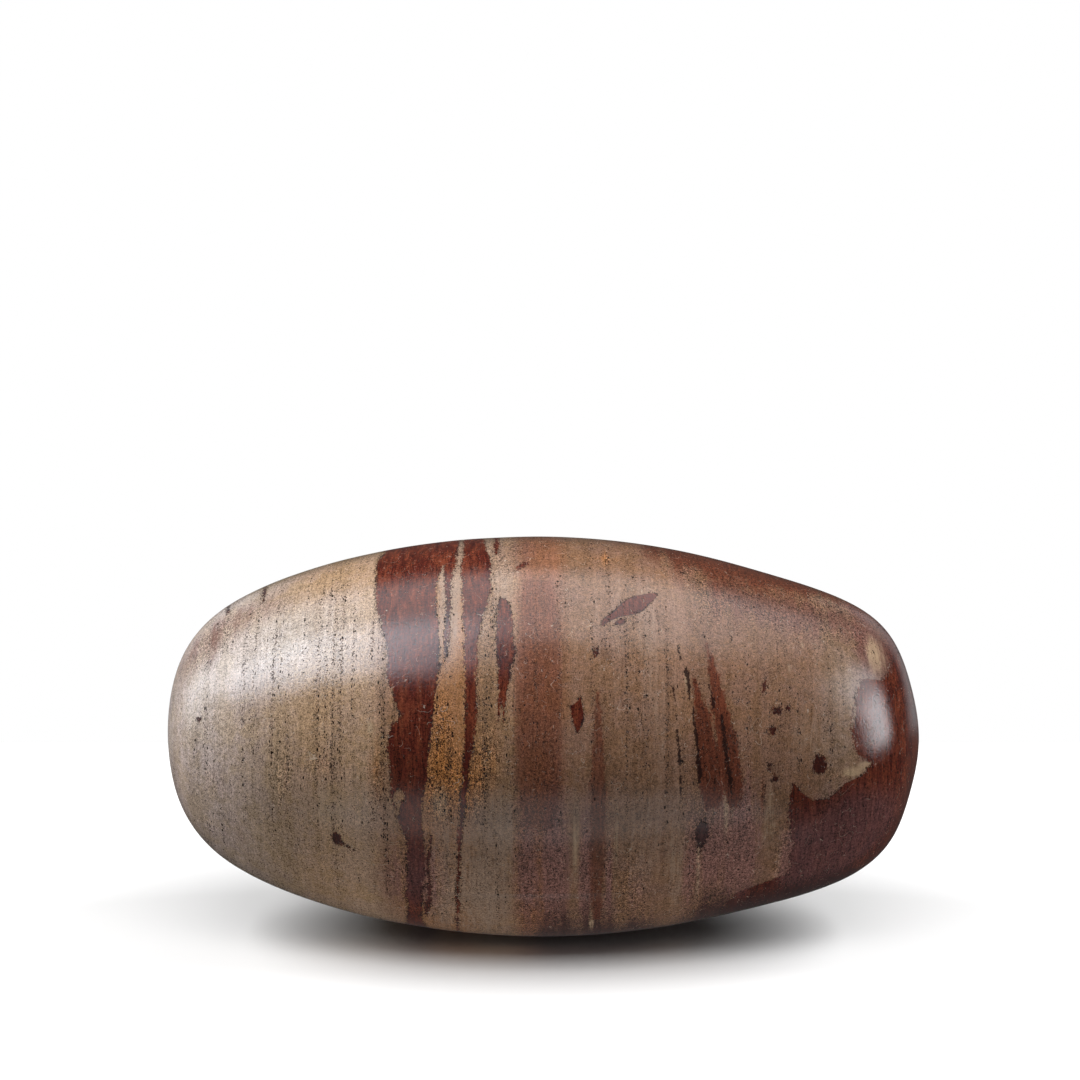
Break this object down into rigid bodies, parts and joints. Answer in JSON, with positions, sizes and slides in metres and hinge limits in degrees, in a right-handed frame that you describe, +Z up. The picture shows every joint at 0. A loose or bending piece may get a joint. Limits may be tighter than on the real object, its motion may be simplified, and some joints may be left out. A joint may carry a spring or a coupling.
{
  "type": "shiva lingam stone",
  "caption": "Long, blunt egg-shaped river stone of banded tan and maroon jasper, polished smooth, lying on its side on a small worn flat.",
  "frame": {"origin": "on the surface that the stone rests on, under the middle of its bounding box", "axes": "+X along the stone's long axis, towards its darker maroon end; +Z up; the front shown in the picture faces -Y"},
  "size_m": [0.3, 0.1606, 0.1588],
  "materials": {
    "polished_jasper": "hand-polished banded jasper, satin gloss"
  },
  "bodies": {
    "root": {"stone": "polished_jasper"}
  },
  "joints": []
}
